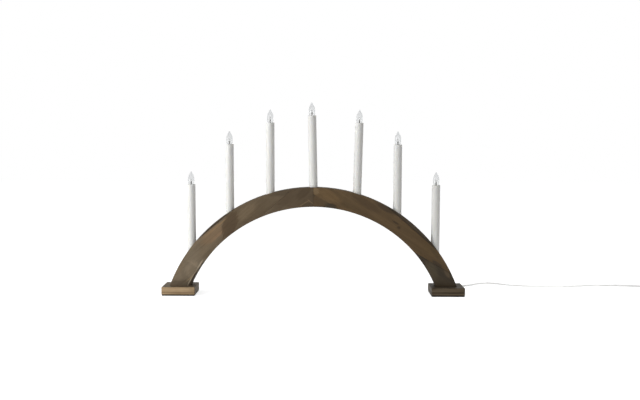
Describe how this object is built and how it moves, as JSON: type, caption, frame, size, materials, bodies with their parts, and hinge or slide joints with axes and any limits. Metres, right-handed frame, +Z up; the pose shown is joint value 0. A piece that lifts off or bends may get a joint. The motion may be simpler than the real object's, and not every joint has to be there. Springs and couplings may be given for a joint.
{
  "type": "candle arch",
  "caption": "Wooden candle arch: a sawn bow on foot blocks that carries a row of upright electric candles with screw-in lamps, wired in series to a mains cord and plug.",
  "frame": {"origin": "on the table, under the middle of the arch, midway between the feet", "axes": "+Z up, +X to the right seen from the front, the front faces -Y"},
  "size_m": [1.256, 0.1661, 0.4145],
  "materials": {
    "bow_wood": "brown stain, satin",
    "foot_wood": "brown stain, satin",
    "cover_wood": "brown stain, satin",
    "dowel_wood": "plain beech",
    "pad_felt": "dark felt",
    "sleeve_plastic": "white, satin",
    "holder_plastic": "white, matt",
    "lamp_brass": "rolled brass",
    "contact_brass": "spring brass",
    "lamp_glass": "clear",
    "filament_metal": "drawn wire",
    "screw_steel": "zinc plated",
    "wire_insulation": "white insulation",
    "cord_vinyl": "white soft vinyl",
    "tie_plastic": "pale strap",
    "plug_plastic": "white moulded",
    "pin_metal": "nickelled brass"
  },
  "bodies": {
    "arch": {"arch_left_inner_stave": "bow_wood", "arch_left_main_stave": "bow_wood", "arch_left_outer_stave": "bow_wood", "arch_right_inner_stave": "bow_wood", "arch_right_main_stave": "bow_wood", "arch_right_outer_stave": "bow_wood", "crown_dowels": "dowel_wood", "wire_cover": "cover_wood", "cover_screws": "screw_steel", "foot_left": "foot_wood", "foot_right": "foot_wood", "foot_screws": "screw_steel", "foot_pad_left": "pad_felt", "foot_pad_right": "pad_felt", "candle_sleeve_1": "sleeve_plastic", "candle_sleeve_2": "sleeve_plastic", "candle_sleeve_3": "sleeve_plastic", "candle_sleeve_4": "sleeve_plastic", "candle_sleeve_5": "sleeve_plastic", "candle_sleeve_6": "sleeve_plastic", "candle_sleeve_7": "sleeve_plastic", "lamp_holders": "holder_plastic", "screw_shells": "lamp_brass", "wiring": "wire_insulation", "cord_clamp": "holder_plastic", "cord_relief": "cord_vinyl", "mains_cord": "cord_vinyl", "cord_coil": "cord_vinyl", "cord_tie": "tie_plastic", "plug_body": "plug_plastic", "plug_pins": "pin_metal"},
    "contact_1": {"centre_contact_1": "contact_brass"},
    "lamp_1": {"lamp_glass_1": "lamp_glass", "lamp_cap_1": "lamp_brass", "lamp_filament_1": "filament_metal"},
    "contact_2": {"centre_contact_2": "contact_brass"},
    "lamp_2": {"lamp_glass_2": "lamp_glass", "lamp_cap_2": "lamp_brass", "lamp_filament_2": "filament_metal"},
    "contact_3": {"centre_contact_3": "contact_brass"},
    "lamp_3": {"lamp_glass_3": "lamp_glass", "lamp_cap_3": "lamp_brass", "lamp_filament_3": "filament_metal"},
    "contact_4": {"centre_contact_4": "contact_brass"},
    "lamp_4": {"lamp_glass_4": "lamp_glass", "lamp_cap_4": "lamp_brass", "lamp_filament_4": "filament_metal"},
    "contact_5": {"centre_contact_5": "contact_brass"},
    "lamp_5": {"lamp_glass_5": "lamp_glass", "lamp_cap_5": "lamp_brass", "lamp_filament_5": "filament_metal"},
    "contact_6": {"centre_contact_6": "contact_brass"},
    "lamp_6": {"lamp_glass_6": "lamp_glass", "lamp_cap_6": "lamp_brass", "lamp_filament_6": "filament_metal"},
    "contact_7": {"centre_contact_7": "contact_brass"},
    "lamp_7": {"lamp_glass_7": "lamp_glass", "lamp_cap_7": "lamp_brass", "lamp_filament_7": "filament_metal"}
  },
  "joints": [
    {"name": "contact_1_rise", "type": "slide", "parent": "arch", "child": "contact_1", "axis": [0, 0, 1], "range_m": [0, 0.00182]},
    {"name": "lamp_1_turn", "type": "hinge", "parent": "contact_1", "child": "lamp_1", "pos_m": [-0.26351, 0, 0.23795], "axis": [0, 0, 1], "range_deg": [0, 360]},
    {"name": "contact_2_rise", "type": "slide", "parent": "arch", "child": "contact_2", "axis": [0, 0, 1], "range_m": [0, 0.00182]},
    {"name": "lamp_2_turn", "type": "hinge", "parent": "contact_2", "child": "lamp_2", "pos_m": [-0.18051, 0, 0.32464], "axis": [0, 0, 1], "range_deg": [0, 360]},
    {"name": "contact_3_rise", "type": "slide", "parent": "arch", "child": "contact_3", "axis": [0, 0, 1], "range_m": [0, 0.00182]},
    {"name": "lamp_3_turn", "type": "hinge", "parent": "contact_3", "child": "lamp_3", "pos_m": [-0.09302, 0, 0.3707], "axis": [0, 0, 1], "range_deg": [0, 360]},
    {"name": "contact_4_rise", "type": "slide", "parent": "arch", "child": "contact_4", "axis": [-0.0209, 0, 0.9998], "range_m": [0, 0.00182]},
    {"name": "lamp_4_turn", "type": "hinge", "parent": "contact_4", "child": "lamp_4", "pos_m": [-0.00366, 0, 0.38596], "axis": [-0.0209, 0, 0.9998], "range_deg": [0, 360]},
    {"name": "contact_5_rise", "type": "slide", "parent": "arch", "child": "contact_5", "axis": [0.0262, 0, 0.9997], "range_m": [0, 0.00182]},
    {"name": "lamp_5_turn", "type": "hinge", "parent": "contact_5", "child": "lamp_5", "pos_m": [0.0976, 0, 0.37064], "axis": [0.0262, 0, 0.9997], "range_deg": [0, 360]},
    {"name": "contact_6_rise", "type": "slide", "parent": "arch", "child": "contact_6", "axis": [0, 0, 1], "range_m": [0, 0.00182]},
    {"name": "lamp_6_turn", "type": "hinge", "parent": "contact_6", "child": "lamp_6", "pos_m": [0.18051, 0, 0.32464], "axis": [0, 0, 1], "range_deg": [0, 360]},
    {"name": "contact_7_rise", "type": "slide", "parent": "arch", "child": "contact_7", "axis": [0, 0, 1], "range_m": [0, 0.00182]},
    {"name": "lamp_7_turn", "type": "hinge", "parent": "contact_7", "child": "lamp_7", "pos_m": [0.26351, 0, 0.23795], "axis": [0, 0, 1], "range_deg": [0, 360]}
  ],
  "couplings": [
    {"joint": "contact_1_rise", "follows": "lamp_1_turn", "m_per_rad": 0.00028871},
    {"joint": "contact_2_rise", "follows": "lamp_2_turn", "m_per_rad": 0.00028871},
    {"joint": "contact_3_rise", "follows": "lamp_3_turn", "m_per_rad": 0.00028871},
    {"joint": "contact_4_rise", "follows": "lamp_4_turn", "m_per_rad": 0.00028871},
    {"joint": "contact_5_rise", "follows": "lamp_5_turn", "m_per_rad": 0.00028871},
    {"joint": "contact_6_rise", "follows": "lamp_6_turn", "m_per_rad": 0.00028871},
    {"joint": "contact_7_rise", "follows": "lamp_7_turn", "m_per_rad": 0.00028871}
  ]
}
